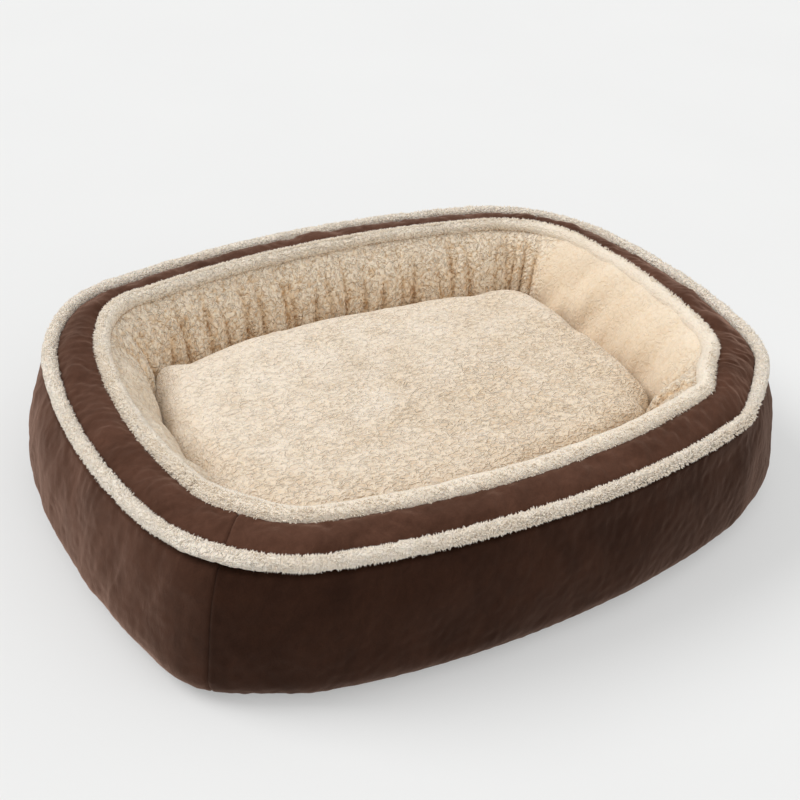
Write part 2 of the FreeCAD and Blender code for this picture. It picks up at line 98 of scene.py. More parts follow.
CORNER_X, CORNER_Y = corner_centre()
SHORT_TURN = math.atan2(CORNER_Y, CORNER_X - HALF_LENGTH + SHORT_BOW_RADIUS)
LONG_TURN = math.atan2(CORNER_Y - HALF_WIDTH + LONG_BOW_RADIUS, CORNER_X)
CORNER_TURN = (SHORT_TURN + LONG_TURN) / 2
FAR_SEAM = math.degrees(CORNER_TURN)
NEAR_SEAM = FAR_SEAM + 180
CORNERS = (-FAR_SEAM, FAR_SEAM, 180 - FAR_SEAM, NEAR_SEAM)
SIDES = ("right", "back", "left", "front")


def plan_arcs():
    """First angle, last angle, centre and radius of the eight arcs, anticlockwise from the east side."""
    east = HALF_LENGTH - SHORT_BOW_RADIUS
    north = HALF_WIDTH - LONG_BOW_RADIUS
    half, full = math.pi, 2 * math.pi
    stops = [-SHORT_TURN, SHORT_TURN, LONG_TURN, half - LONG_TURN, half - SHORT_TURN,
             half + SHORT_TURN, half + LONG_TURN, full - LONG_TURN, full - SHORT_TURN]
    centres = [(east, 0), (CORNER_X, CORNER_Y), (0, north), (-CORNER_X, CORNER_Y),
               (-east, 0), (-CORNER_X, -CORNER_Y), (0, -north), (CORNER_X, -CORNER_Y)]
    radii = [SHORT_BOW_RADIUS, CORNER_RADIUS, LONG_BOW_RADIUS, CORNER_RADIUS] * 2
    return list(zip(stops[:-1], stops[1:], centres, radii))


def smooth(x):
    x = np.clip(x, 0, 1)
    return x * x * (3 - 2 * x)


def facing(angle, degrees, width):
    """1 where the outline faces that way, falling smoothly to 0 over width degrees either side."""
    off = (np.degrees(angle) - degrees + 180) % 360 - 180
    return smooth(1 - np.abs(off) / width)


def rim_sway(angle):
    """How far the soft rim stands out from the even plan: fuller in front, far left and right."""
    full = 0.0054 * facing(angle, 262, 42) + 0.006 * facing(angle, 122, 36) + 0.006 * facing(angle, 352, 38)
    return full + 0.003 * facing(angle, 281, 18) - 0.0042 * facing(angle, 309, 28)


def inner_sway(angle):
    """How much further the inner lip goes with it: further in front, less at the near right and right."""
    near = 0.003 * facing(angle, 262, 40) - 0.004 * facing(angle, 315, 40)
    return near - 0.0065 * facing(angle, 352, 36) - 0.0025 * facing(angle, 65, 60)


def wall_sway(angle):
    """How much further the side wall goes: it sags outwards at the left and is pulled in along the front."""
    sag = 0.0045 * facing(angle, 165, 26) + 0.008 * facing(angle, 222, 23) + 0.0035 * facing(angle, 316, 25)
    return sag - 0.0065 * facing(angle, 279, 26)


def foot_sway(angle):
    """How much further the wall's foot goes: it splays at the two near corners."""
    return 0.005 * facing(angle, 318, 30) + 0.004 * facing(angle, 215, 24)


class Ring:
    """Columns evenly spaced along the plan outline moved out by u."""

    def __init__(self, u, step):
        arcs = plan_arcs()
        lengths = np.array([(radius + u) * (last - first) for first, last, _, radius in arcs])
        starts = np.concatenate([[0], np.cumsum(lengths)])
        self.length = starts[-1]
        self.count = round(self.length / step)
        self.cell = self.length / self.count
        self.s = np.arange(self.count) * self.cell
        which = np.clip(np.searchsorted(starts, self.s, side="right") - 1, 0, len(arcs) - 1)
        first = np.array([arc[0] for arc in arcs])[which]
        self.radius = np.array([arc[3] for arc in arcs])[which]
        self.centre = np.array([arc[2] for arc in arcs])[which]
        self.angle = first + (self.s - starts[which]) / (self.radius + u)
        self.out = np.stack([np.cos(self.angle), np.sin(self.angle)], 1)

    def place(self, u, z):
        """Points (column, row, xyz) at distances u and heights z, which may vary from column to column."""
        u, z = np.broadcast_arrays(np.atleast_2d(u), np.atleast_2d(z))
        inwards, outwards = np.clip(-u / 0.04, 0, 1), np.clip(u / 0.0125, 0, 1)
        sway = rim_sway(self.angle)[:, None] + inwards * inner_sway(self.angle)[:, None]
        low = outwards * np.clip(1 - z / 0.06, 0, 1)
        sway = sway + outwards * wall_sway(self.angle)[:, None] + low * foot_sway(self.angle)[:, None]
        reach = self.radius[:, None] + u + sway
        xy = self.centre[:, None, :] + reach[..., None] * self.out[:, None, :]
        return np.concatenate([xy, np.broadcast_to(z, reach.shape)[..., None]], 2)

    def near(self, degrees, width):
        return facing(self.angle, degrees, width)[:, None]

    def column(self, degrees):
        """The column that faces that way."""
        off = (np.degrees(self.angle) - degrees + 180) % 360 - 180
        return int(np.argmin(np.abs(off)))

    def gap(self, place, lean=0.0):
        """How far each column, moved on by lean, is past a place along the outline."""
        return (self.s[:, None] + lean - place + self.length / 2) % self.length - self.length / 2

    def axes(self, columns):
        """Unit vectors outwards and along the outline at some columns."""
        out = np.concatenate([self.out[columns], np.zeros((len(columns), 1))], 1)
        return out, np.stack([-out[:, 1], out[:, 0], out[:, 2]], 1)

    def scatter(self, spacing, jitter, rng):
        """Places along the outline about spacing apart, each shifted by up to jitter of that."""
        count = round(self.length / spacing)
        return (np.arange(count) + rng.uniform(-jitter, jitter, count)) * self.length / count

    def halves(self):
        """Name, first and last column of the two panels that meet at the near and far seams."""
        near, far = self.column(NEAR_SEAM), self.column(FAR_SEAM)
        return ("front", near, far), ("back", far, near)

    def quarters(self):
        """Name, first and last column of the four panels that meet at the corners."""
        seams = [self.column(degrees) for degrees in CORNERS]
        return [(name, seams[i], seams[(i + 1) % 4]) for i, name in enumerate(SIDES)]

    def span(self, first, last):
        """The columns from first to last, going round past the start if need be."""
        return (first + np.arange((last - first) % self.count + 1)) % self.count


def arc(centre, radius, first, last, count=40):
    """Points on an arc, with angles in degrees from +u towards +z."""
    turn = np.radians(np.linspace(first, last, count))
    return [(centre[0] + radius * math.cos(a), centre[1] + radius * math.sin(a)) for a in turn]


def vertical_arc(bulge, end, count=40):
    """Points from bulge, where the arc stands upright, to end."""
    du, dz = bulge[0] - end[0], bulge[1] - end[1]
    radius = (du ** 2 + dz ** 2) / (2 * du)
    centre = (bulge[0] - radius, bulge[1])
    start = 0 if radius > 0 else 180
    turn = math.degrees(math.atan2(end[1] - centre[1], end[0] - centre[0]))
    if start == 180 and turn < 0:
        turn += 360
    return arc(centre, abs(radius), start, turn, count)


def evened(points, count):
    """The same line as count evenly spaced points, as two arrays u and z."""
    line = np.array(points, float)
    travelled = np.concatenate([[0], np.cumsum(np.hypot(*np.diff(line, axis=0).T))])
    at = np.linspace(0, travelled[-1], count)
    return np.interp(at, travelled, line[:, 0]), np.interp(at, travelled, line[:, 1])


def spaced(points, step, closed=False):
    """The same line with its points evenly spaced by about step, as two arrays u and z."""
    line = points + points[:1] if closed else points
    length = np.hypot(*np.diff(np.array(line, float), axis=0).T).sum()
    u, z = evened(line, max(2, round(length / step) + 1))
    return (u[:-1], z[:-1]) if closed else (u, z)


# ---------------------------------------------------------------- noise

def random_waves(shape, cell, seed, stretch=1.0, turn=0.0):
    """Random waves on a grid: their strengths, and how many of each fit in a metre."""
    rng = np.random.default_rng(seed)
    first = np.fft.fftfreq(shape[0], cell[0])[:, None]
    second = np.fft.rfftfreq(shape[1], cell[1])[None, :]
    along = first * math.cos(turn) + second * math.sin(turn)
    across = second * math.cos(turn) - first * math.sin(turn)
    return np.fft.rfft2(rng.standard_normal(shape)), np.hypot(along * stretch, across)


def added_up(strengths, shape):
    """The waves added up to heights of unit spread."""
    noise = np.fft.irfft2(strengths, shape)
    return noise / noise.std()


def band_noise(shape, cell, wave, seed, width=0.3, stretch=1.0, turn=0.0):
    """Repeating noise with waves of one length, stretched along turn from the first axis."""
    strengths, waves = random_waves(shape, cell, seed, stretch, turn)
    return added_up(strengths * np.exp(-((waves * wave - 1) / width) ** 2 / 2), shape)


def soft_noise(shape, cell, wave, seed):
    """Repeating noise with every wave longer than about wave."""
    strengths, waves = random_waves(shape, cell, seed)
    strengths = strengths * np.exp(-((waves * wave) ** 2) / 2)
    strengths[0, 0] = 0
    return added_up(strengths, shape)


def curls(shape, cell, wave, seed, stretch=1.0, turn=0.0):
    """Heights from 0 to about 1 of sherpa nubs: worm-like tops parted by thin, broken crevices."""
    noise = np.abs(band_noise(shape, cell, wave, seed, 0.42, stretch, turn))
    nub = np.clip(noise / 0.95, 0, 1) ** 0.55
    closed = smooth(0.5 + 0.4 * soft_noise(shape, cell, wave * 1.2, seed + 1))
    frizz = band_noise(shape, cell, wave * 0.28, seed + 2, 0.35)
    return np.clip(1 - (1 - nub) * (0.35 + 0.65 * closed) + 0.05 * frizz, 0, 1.2)


def sample(tile, cell, x, y):
    """Values of a repeating tile at places x and y, with smooth steps between its cells."""
    fx, fy = x / cell, y / cell
    i, j = np.floor(fx).astype(int), np.floor(fy).astype(int)
    fx, fy = fx - i, fy - j
    rows, columns = tile.shape
    def at(di, dj):
        return tile[(i + di) % rows, (j + dj) % columns]
    near = at(0, 0) * (1 - fx) + at(1, 0) * fx
    far = at(0, 1) * (1 - fx) + at(1, 1) * fx
    return near * (1 - fy) + far * fy


# ---------------------------------------------------------------- meshes

def normals(points, round_s=True, round_t=False):
    """Unit normals of a grid of points, on the side that a profile faces."""
    def difference(axis, wraps):
        if wraps:
            return np.roll(points, -1, axis) - np.roll(points, 1, axis)
        return np.gradient(points, axis=axis)
    n = np.cross(difference(0, round_s), difference(1, round_t))
    return n / np.maximum(np.linalg.norm(n, axis=2, keepdims=True), 1e-12)


def raised(points, shift, round_t=False):
    """The same closed ring of points, each moved along its normal by shift."""
    return points + normals(points, True, round_t) * shift[..., None]


def grid_faces(columns, rows, round_s, round_t):
    """Quads between neighbouring points of a grid, joined up where it is round."""
    j = np.arange(columns if round_s else columns - 1)[:, None]
    i = np.arange(rows if round_t else rows - 1)[None, :]
    j2, i2 = (j + 1) % columns, (i + 1) % rows
    return np.stack([j * rows + i, j2 * rows + i, j2 * rows + i2, j * rows + i2], 2).reshape(-1, 4)


def make_mesh(name, points, faces, material, **layers):
    """A smooth-shaded object from points and lists of faces; layers are per-point numbers."""
    mesh = bpy.data.meshes.new(name)
    groups = faces if isinstance(faces, list) else [faces]
    sizes = np.concatenate([np.full(len(group), group.shape[1]) for group in groups])
    corners = np.concatenate([group.ravel() for group in groups])
    mesh.vertices.add(len(points))
    mesh.vertices.foreach_set("co", np.ascontiguousarray(points, np.float32).ravel())
    mesh.loops.add(len(corners))
    mesh.loops.foreach_set("vertex_index", corners.astype(np.int32))
    mesh.polygons.add(len(sizes))
    mesh.polygons.foreach_set("loop_start", np.concatenate([[0], np.cumsum(sizes)[:-1]]).astype(np.int32))
    mesh.polygons.foreach_set("use_smooth", np.ones(len(sizes), bool))
    mesh.update(calc_edges=True)
    mesh.validate()
    for layer, values in layers.items():
        attribute = mesh.attributes.new(layer, "FLOAT", "POINT")
        attribute.data.foreach_set("value", np.ascontiguousarray(values, np.float32).ravel())
    mesh.materials.append(material)
    piece = bpy.data.objects.new(name, mesh)
    bpy.context.scene.collection.objects.link(piece)
    return piece


def capped(points, faces, columns, rows):
    """Closes the two open ends of a tube grid with a fan of triangles each."""
    ends = []
    for first, turn in ((0, 1), ((columns - 1) * rows, -1)):
        ring = first + np.arange(rows)
        hub = np.full(rows, len(points))
        points = np.concatenate([points, points[ring].mean(0, keepdims=True)])
        ends.append(np.stack([ring, np.roll(ring, -1), hub], 1)[:, ::turn])
    return points, [faces] + ends


def grid_piece(name, points, material, round_s=True, round_t=False, **layers):
    columns, rows = points.shape[:2]
    faces = grid_faces(columns, rows, round_s, round_t)
    flat_layers = {layer: values.reshape(-1) for layer, values in layers.items()}
    return make_mesh(name, points.reshape(-1, 3), faces, material, **flat_layers)


def panel(name, points, columns, material, **layers):
    """Some columns of a ring's grid as a piece."""
    chosen = {layer: values[columns] for layer, values in layers.items()}
    return grid_piece(name, points[columns], material, round_s=False, **chosen)


def belongs(piece, body, slot, *nodes):
    """Puts a piece on a body and hides the CAD nodes that it replaces; slot is not used."""
    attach(piece, body)
    if nodes:
        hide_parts(*nodes)
    return piece


# ---------------------------------------------------------------- materials

def shader(name, roughness, colour=(0.5, 0.5, 0.5), sheen=0.0, sheen_tint=(1, 1, 1), sheen_roughness=0.4,
           metallic=0.0, specular=0.3, subsurface=0.0):
    """A node material; constants sit on the shader's own sockets."""
    material = bpy.data.materials.new(name)
    material.use_nodes = True
    tree = material.node_tree
    bsdf = tree.nodes["Principled BSDF"]
    bsdf.inputs["Base Color"].default_value = (*colour, 1)
    bsdf.inputs["Roughness"].default_value = roughness
    bsdf.inputs["Metallic"].default_value = metallic
    bsdf.inputs["Specular IOR Level"].default_value = specular
    bsdf.inputs["Sheen Weight"].default_value = sheen
    bsdf.inputs["Sheen Tint"].default_value = (*sheen_tint, 1)
    bsdf.inputs["Sheen Roughness"].default_value = sheen_roughness
    bsdf.inputs["Subsurface Weight"].default_value = subsurface
    bsdf.inputs["Subsurface Scale"].default_value = 0.003
    bsdf.inputs["Subsurface Radius"].default_value = (1.0, 0.75, 0.5)
    return material, tree, bsdf


def finished(material, tree, bsdf, colour, normal):
    """Joins a colour and a bumped normal to the shader."""
    tree.links.new(colour, bsdf.inputs["Base Color"])
    tree.links.new(normal, bsdf.inputs["Normal"])
    return material


def scaled(colour, factor):
    return tuple(min(1, value * factor) for value in colour)


def add(tree, kind, **inputs):
    """A new node with its sockets set or linked."""
    node = tree.nodes.new(kind)
    for key, value in inputs.items():
        socket = node.inputs[key.replace("_", " ")]
        if hasattr(value, "node"):
            tree.links.new(value, socket)
        else:
            socket.default_value = value
    return node


def noise_at(tree, scale, detail=2.0, stretch=(1, 1, 1), roughness=0.5, distortion=0.0, turn=0.0):
    """A noise value in the row frame; scale is in waves per metre, turn is about the vertical."""
    place = add(tree, "ShaderNodeTexCoord")
    mapping = add(tree, "ShaderNodeMapping", Vector=place.outputs["Object"], Scale=stretch,
                  Rotation=(0, 0, turn))
    texture = add(tree, "ShaderNodeTexNoise", Vector=mapping.outputs[0], Scale=scale, Detail=detail,
                  Roughness=roughness, Distortion=distortion)
    return texture.outputs["Fac"]


def ramp(tree, factor, *stops, ease=False):
    """Colours along a factor, as (place, (r, g, b))."""
    node = add(tree, "ShaderNodeValToRGB", Fac=factor)
    if ease:
        node.color_ramp.interpolation = "EASE"
    elements = node.color_ramp.elements
    elements[0].position, elements[0].color = stops[0][0], (*stops[0][1], 1)
    elements[1].position, elements[1].color = stops[-1][0], (*stops[-1][1], 1)
    for place, colour in stops[1:-1]:
        element = elements.new(place)
        element.color = (*colour, 1)
    return node.outputs["Color"]


def mix(tree, factor, first, second, blend="MIX"):
    """Two colours mixed or blended; factor and colours may be values or sockets."""
    node = tree.nodes.new("ShaderNodeMix")
    node.data_type = "RGBA"
    node.blend_type = blend
    for index, value in ((0, factor), (6, first), (7, second)):
        socket = node.inputs[index]
        if hasattr(value, "node"):
            tree.links.new(value, socket)
        else:
            socket.default_value = value if index == 0 else (*value, 1)
    return node.outputs[2]


def bump(tree, height, distance, strength=1.0, under=None):
    node = add(tree, "ShaderNodeBump", Height=height, Distance=distance, Strength=strength)
    if under is not None:
        tree.links.new(under, node.inputs["Normal"])
    return node.outputs["Normal"]


def attribute(tree, name):
    node = tree.nodes.new("ShaderNodeAttribute")
    node.attribute_name = name
    return node.outputs["Fac"]


WHITE = (1.0, 1.0, 1.0)
BLACK = (0.0, 0.0, 0.0)


def pile_cloth(name, deep, middle, tip, nubs, lie=(1, 1, 1), turn=0.0):
    """Sherpa or plush: worm-like raised strokes with painted shade between them, over a fibre grain.

    One layer follows the height that the mesh already has and picks the colour from deep through middle to
    tip, which is painted shade in the crevices and valleys. The layer curl says how curly the fibres are
    there.
    """
    cloth = shader(name, 0.9, sheen=0.3, sheen_tint=(1.0, 0.96, 0.9), specular=0.1,
                   sheen_roughness=0.5, subsurface=0.1)
    tree = cloth[1]
    worms = noise_at(tree, nubs, 1.0, lie, 0.4, 0.7, turn)
    strokes = ramp(tree, worms, (0.3, BLACK), (0.5, WHITE), (0.7, BLACK), ease=True)
    strokes = mix(tree, attribute(tree, "curl"), WHITE, strokes)
    # Painted shade: the crevices and valleys take the deep colour, and the colour is darkened between the
    # raised strokes.
    colour = ramp(tree, attribute(tree, "pile"), (0.0, deep), (0.5, middle), (1.0, tip))
    between = tuple(0.7 + 0.3 * low / high for low, high in zip(deep, tip))
    colour = mix(tree, 1.0, colour, ramp(tree, strokes, (0.0, between), (0.75, WHITE)), "MULTIPLY")
    tint = ramp(tree, noise_at(tree, 14, 3), (0.35, (0.955, 0.935, 0.91)), (0.65, WHITE))
    fibres = noise_at(tree, 1300, 3, roughness=0.6)
    grain = ramp(tree, fibres, (0.3, (0.93, 0.915, 0.89)), (0.7, WHITE))
    colour = mix(tree, 1.0, colour, tint, "MULTIPLY")
    colour = mix(tree, 0.8, colour, grain, "MULTIPLY")
    rounded = bump(tree, strokes, 0.0016, 1.0)
    return finished(*cloth, colour, bump(tree, fibres, 0.00025, 0.7, rounded))


def suede(name, dark, light, sheen=0.6):
    """Brushed suede cloth: a mottled, brushed surface that catches light at a grazing angle, over a fine
    grain.

    Its shade layer is 1 where the suede keeps its full tone and 0 where painted shade darkens it most.
    """
    cloth = shader(name, 0.8, sheen=sheen, sheen_tint=(0.66, 0.43, 0.33), specular=0.06, sheen_roughness=0.4)
    tree = cloth[1]
    broad = noise_at(tree, 16, 4, (1, 1, 0.6), 0.6, 0.8)
    strokes = noise_at(tree, 110, 3, (1, 1, 0.55), 0.6, 1.2)
    grain = noise_at(tree, 1100, 3, roughness=0.7)
    # Painted shade: where the shade layer is below 1 the colour darkens, down to about 0.6 of it.
    nap = mix(tree, attribute(tree, "nap"), (0.6, 0.56, 0.52), WHITE)
    colour = mix(tree, 1.0, ramp(tree, broad, (0.34, dark), (0.66, light)), nap, "MULTIPLY")
    shade = ramp(tree, strokes, (0.32, (0.86, 0.84, 0.82)), (0.68, (1.1, 1.1, 1.1)))
    speck = ramp(tree, grain, (0.3, (0.78, 0.78, 0.78)), (0.7, (1.15, 1.15, 1.15)))
    colour = mix(tree, 0.8, colour, shade, "MULTIPLY")
    colour = mix(tree, 0.8, colour, speck, "MULTIPLY")
    relief = bump(tree, strokes, 0.0009, 0.45)
    return finished(*cloth, colour, bump(tree, grain, 0.0003, 0.6, relief))


def plain_cloth(name, colour, weave):
    """A plain weave: threads over and under, with a little colour variation."""
    cloth = shader(name, 0.85, sheen=0.2, specular=0.2)
    tree = cloth[1]
    place = add(tree, "ShaderNodeTexCoord").outputs["Object"]
    over = tree.nodes.new("ShaderNodeMath")
    over.operation = "MAXIMUM"
    for index, turn in enumerate((0.0, math.pi / 2)):
        mapping = add(tree, "ShaderNodeMapping", Vector=place, Rotation=(0, 0, turn))
        wave = add(tree, "ShaderNodeTexWave", Vector=mapping.outputs[0], Scale=weave / 6, Distortion=0.6)
        tree.links.new(wave.outputs["Fac"], over.inputs[index])
    low, high = scaled(colour, 0.75), scaled(colour, 1.15)
    patches = ramp(tree, noise_at(tree, 30, 4), (0.3, low), (0.7, high))
    threads = ramp(tree, over.outputs[0], (0.2, low), (0.9, high))
    return finished(*cloth, mix(tree, 0.35, patches, threads), bump(tree, over.outputs[0], 0.0002, 0.7))


def solid_stuff(name, colour, roughness, metallic=0.0):
    """Moulded plastic, rubber or metal with a slight surface grain."""
    stuff = shader(name, roughness, metallic=metallic, specular=0.5)
    tree = stuff[1]
    speck = noise_at(tree, 800.0, 3)
    shade = ramp(tree, speck, (0.3, scaled(colour, 0.85)), (0.7, scaled(colour, 1.1)))
    return finished(*stuff, shade, bump(tree, speck, 0.00005, 0.4))


def padding(name, colour):
    """Loose polyester fibre: a tangle of fine strands."""
    fibre = shader(name, 0.9, sheen=0.3, specular=0.1)
    tree = fibre[1]
    tangle = noise_at(tree, 220, 6, roughness=0.75, distortion=1.5)
    shade = ramp(tree, tangle, (0.3, scaled(colour, 0.8)), (0.7, colour))
    return finished(*fibre, shade, bump(tree, tangle, 0.001, 0.8))


SUEDE = suede("suede_brown", (0.064, 0.028, 0.017), (0.1, 0.045, 0.0285))
# The wall suedes: one for the back panel, and a darker copy for the front panel, which is painted shade on
# the side that faces away from the light.
SUEDE_BACK_WALL = suede("suede_brown_nap_up", (0.062, 0.0275, 0.017), (0.094, 0.043, 0.0275), 0.6)
SUEDE_PAINTED_SHADE = suede("suede_brown_nap_down", (0.0245, 0.0094, 0.005), (0.04, 0.016, 0.0088), 0.4)
SHERPA = pile_cloth("sherpa_cream", (0.52, 0.3, 0.14), (0.8, 0.61, 0.41), (0.91, 0.79, 0.635), 215,
                    lie=(1, 1, 0.62))
PIPING_PILE = pile_cloth("piping_pile", (0.68, 0.54, 0.39), (0.87, 0.76, 0.62), (0.93, 0.845, 0.735), 300)
PLUSH = pile_cloth("plush_cream", (0.62, 0.46, 0.3), (0.86, 0.74, 0.585), (0.92, 0.825, 0.7), 260)
CUSHION_PILE = pile_cloth("cushion_sherpa", (0.5, 0.31, 0.16), (0.79, 0.635, 0.455), (0.885, 0.785, 0.66),
                          235, lie=(0.62, 1, 1), turn=math.radians(38))
THREAD = plain_cloth("stitch_thread", (0.55, 0.36, 0.22), 3000)
BINDING = plain_cloth("binding_tape", (0.03, 0.014, 0.009), 1800)
BASE_CLOTH = plain_cloth("base_cloth", (0.055, 0.045, 0.04), 1200)
DECK_CLOTH = plain_cloth("deck_cloth", (0.12, 0.06, 0.04), 1500)
ZIP_TAPE = plain_cloth("zip_tape", (0.62, 0.5, 0.37), 2400)
CORD = plain_cloth("piping_cord", (0.8, 0.78, 0.72), 1500)
WADDING = padding("wadding", (0.82, 0.82, 0.8))
FIBRE = padding("fibre_fill", (0.85, 0.85, 0.83))
DOT_RUBBER = solid_stuff("grip_dot", (0.03, 0.028, 0.027), 0.6)
COIL = solid_stuff("zip_coil", (0.6, 0.49, 0.37), 0.45)
METAL = solid_stuff("zip_metal", (0.52, 0.47, 0.4), 0.35, metallic=1.0)

CAD_MATERIALS = {
    "grip_dots": DOT_RUBBER, "floor_pad": WADDING, "zip_tape_upper": ZIP_TAPE, "zip_tape_lower": ZIP_TAPE,
    "zip_coil_upper": COIL, "zip_coil_lower": COIL,
    "zip_stops": METAL, "zip_slider": METAL, "zip_pull": METAL,
}
for node, cad_material in CAD_MATERIALS.items():
    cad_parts[node].data.materials.clear()
    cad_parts[node].data.materials.append(cad_material)


# ---------------------------------------------------------------- rim: suede outside

def seam_groove(ring, degrees, depth, width):
    """A narrow valley down the ring at one seam, between two slight ridges."""
    off = np.abs(ring.gap(ring.s[ring.column(degrees)])) / width
    return -depth * (np.exp(-off) - 0.15 * np.exp(-(off - 3) ** 2))


def side_walls():
    """Two suede panels that bulge low down, seamed at two opposite corners."""
    step = 0.0016
    ring = Ring(0.02, step)
    foot_side = vertical_arc(WALL_BULGE, WALL_FOOT)[::-1]
    top_side = vertical_arc(WALL_BULGE, WALL_TOP)
    tuck = [(-0.002, 0.1232), (-0.007, 0.1225)]
    u, z = spaced(foot_side + top_side[1:] + tuck, step)
    up = np.linspace(0, 1, len(u))[None, :]
    shape, cell = (ring.count, len(u)), (ring.cell, step)
    held = smooth(up / 0.3) * smooth((1 - up) / 0.25)
    swell = 0.0008 * soft_noise(shape, cell, 0.11, 11) * held
    creases = np.minimum(band_noise(shape, cell, 0.042, 12, 0.5, 2.6, 1.15), 0.6)
    creases = 0.0007 * creases * (0.35 + ring.near(185, 70)) * held
    gathers = 0.0003 * band_noise(shape, cell, 0.014, 13, 0.4, 4.5, math.pi / 2)
    gathers = gathers * (np.exp(-(1 - up) / 0.2) + 0.6 * np.exp(-up / 0.12))
    rumple = 0.00012 * band_noise(shape, cell, 0.013, 14, 0.5, 1.4, 1.0)
    seams = sum(seam_groove(ring, degrees, 0.002, 0.0008) for degrees in (NEAR_SEAM, FAR_SEAM))
    points = raised(ring.place(u, z), swell + creases + gathers + rumple + seams)
    # Painted shade: the back panel darkens towards the near seam, and the front panel takes the darker copy
    # of the suede.
    nap = np.broadcast_to(1 - ring.near(NEAR_SEAM - 360, 34), shape)
    cloths = {"front": (SUEDE_PAINTED_SHADE, np.ones(shape)), "back": (SUEDE_BACK_WALL, nap)}
    for name, first, last in ring.halves():
        cloth, painted_shade_layer = cloths[name]
        wall = panel("suede_side_wall_" + name, points, ring.span(first, last), cloth, nap=painted_shade_layer)
        belongs(wall, "bed", "suede_brown", "side_wall_" + name)


def puckers(ring, across, places, depth, width):
    """Soft pinched valleys across a band; across runs from 0 at its outer edge to 1."""
    total = np.zeros((ring.count, across.shape[1]))
    for place, strength, lean, reach in places:
        valley = np.exp(-(np.abs(ring.gap(place, lean * across)) / width) ** 1.4)
        total += strength * valley * np.exp(-across / reach)
    return -depth * total


def scattered(ring, spacing, seed):
    """Places along a ring, unevenly spaced, each with a strength, a lean and a reach."""
    rng = np.random.default_rng(seed)
    at = ring.scatter(spacing, 0.4, rng)
    return [(s, rng.uniform(0.2, 1), rng.normal(0, 0.014), rng.uniform(0.25, 1.2)) for s in at]


def top_bands():
    """Two suede bands on top of the rim, puckered where the trims gather them."""
    step = 0.0014
    ring = Ring(-0.024, step)
    t = np.linspace(-0.08, 1.3, 36)
    u = BAND_OUTER[0] + (BAND_INNER[0] - BAND_OUTER[0]) * t
    z = BAND_OUTER[1] + (BAND_INNER[1] - BAND_OUTER[1]) * t + 4 * BAND_CROWN * t * (1 - t)
    across = np.clip(t, 0, 1)[None, :]
    shape, cell = (ring.count, len(u)), (ring.cell, step)
    middle = smooth(across / 0.3) * smooth((1 - across) / 0.3)
    swell = 0.001 * soft_noise(shape, cell, 0.05, 21) * middle
    lively = 0.6 + 0.6 * ring.near(200, 60) + 0.7 * ring.near(330, 50)
    outer = puckers(ring, across, scattered(ring, 0.027, 22), 0.0028, 0.0055)
    inner = puckers(ring, 1 - across, scattered(ring, 0.03, 23), 0.0026, 0.005)
    wrinkles = np.maximum(band_noise(shape, cell, 0.009, 24, 0.4, 4.0, math.pi / 2) - 0.6, 0)
    fine = 0.0005 * wrinkles * (0.15 + 1.2 * ring.near(325, 28) + 0.5 * ring.near(150, 30))
    rumple = 0.00022 * band_noise(shape, cell, 0.011, 25, 0.5, 1.8, 1.1)
    seams = sum(seam_groove(ring, degrees, 0.0018, 0.0009) for degrees in (NEAR_SEAM, FAR_SEAM))
    shift = swell + (outer + inner) * (0.3 + 0.7 * middle) * lively + fine + rumple + seams
    points = raised(ring.place(u, z), shift)
    for name, first, last in ring.halves():
        band = panel("suede_top_band_" + name, points, ring.span(first, last), SUEDE, nap=np.ones(shape))
        belongs(band, "bed", "suede_brown", "top_band_" + name)


def base_binding():
    """A folded tape rolled over the seam between wall and base."""
    ring = Ring(0.006, 0.003)
    step = 0.0016
    u, z = spaced(arc((0.0042, 0.0034), 0.0029, -150, 200, 16), step, closed=True)
    ripple = 0.0003 * band_noise((ring.count, len(u)), (ring.cell, step), 0.02, 31)
    points = raised(ring.place(u, z), ripple, round_t=True)
    binding = grid_piece("rolled_binding", points, BINDING, round_t=True)
    belongs(binding, "bed", "binding_tape", "base_binding")


def plan_sheet(name, u, z, upwards, material, seed):
    """A cloth cut to the plan outline moved out by u, lying at height z and slightly rumpled."""
    step = 0.004
    edge = Ring(u, step).place(u, z)[:, 0]
    shares = np.linspace(1, 0, 60)[:-1]
    points = np.stack([np.concatenate([edge[:, :2] * share, edge[:, 2:]], 1) for share in shares], 1)
    tile = soft_noise((256, 256), (step, step), 0.03, seed)
    rumple = sample(tile, step, points[..., 0], points[..., 1])
    points[..., 2] += 0.0002 * rumple * (1 if upwards else -0.5)
    columns, rows = points.shape[:2]
    faces = grid_faces(columns, rows, True, False)
    here = np.arange(columns) * rows + rows - 1
    hub = np.stack([here, np.roll(here, -1), np.full(columns, columns * rows)], 1)
    points = np.concatenate([points.reshape(-1, 3), [(0, 0, z)]])
    if not upwards:
        faces, hub = faces[:, ::-1], hub[:, ::-1]
    return make_mesh(name, points, [faces, hub], material)


def base_and_deck():
    """The base cloth that the grip dots are moulded into, and the deck cloth that the cushion lies on."""
    base_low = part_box("base_panel")[0].z
    base = plan_sheet("woven_base_cloth", WALL_FOOT[0] - 0.003, base_low + 0.0006, False, BASE_CLOTH, 32)
    belongs(base, "bed", "base_cloth", "base_panel")
    deck_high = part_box("deck_panel")[1].z
    deck = plan_sheet("woven_deck_cloth", LINING_FOOT[0] - 0.001, deck_high, True, DECK_CLOTH, 33)
    belongs(deck, "bed", "deck_cloth", "deck_panel")


# ---------------------------------------------------------------- rim: pile trims and lining

UP = np.array([0, 0, 1])
TUFT_THICKNESS = (0.0004, 0.0008)


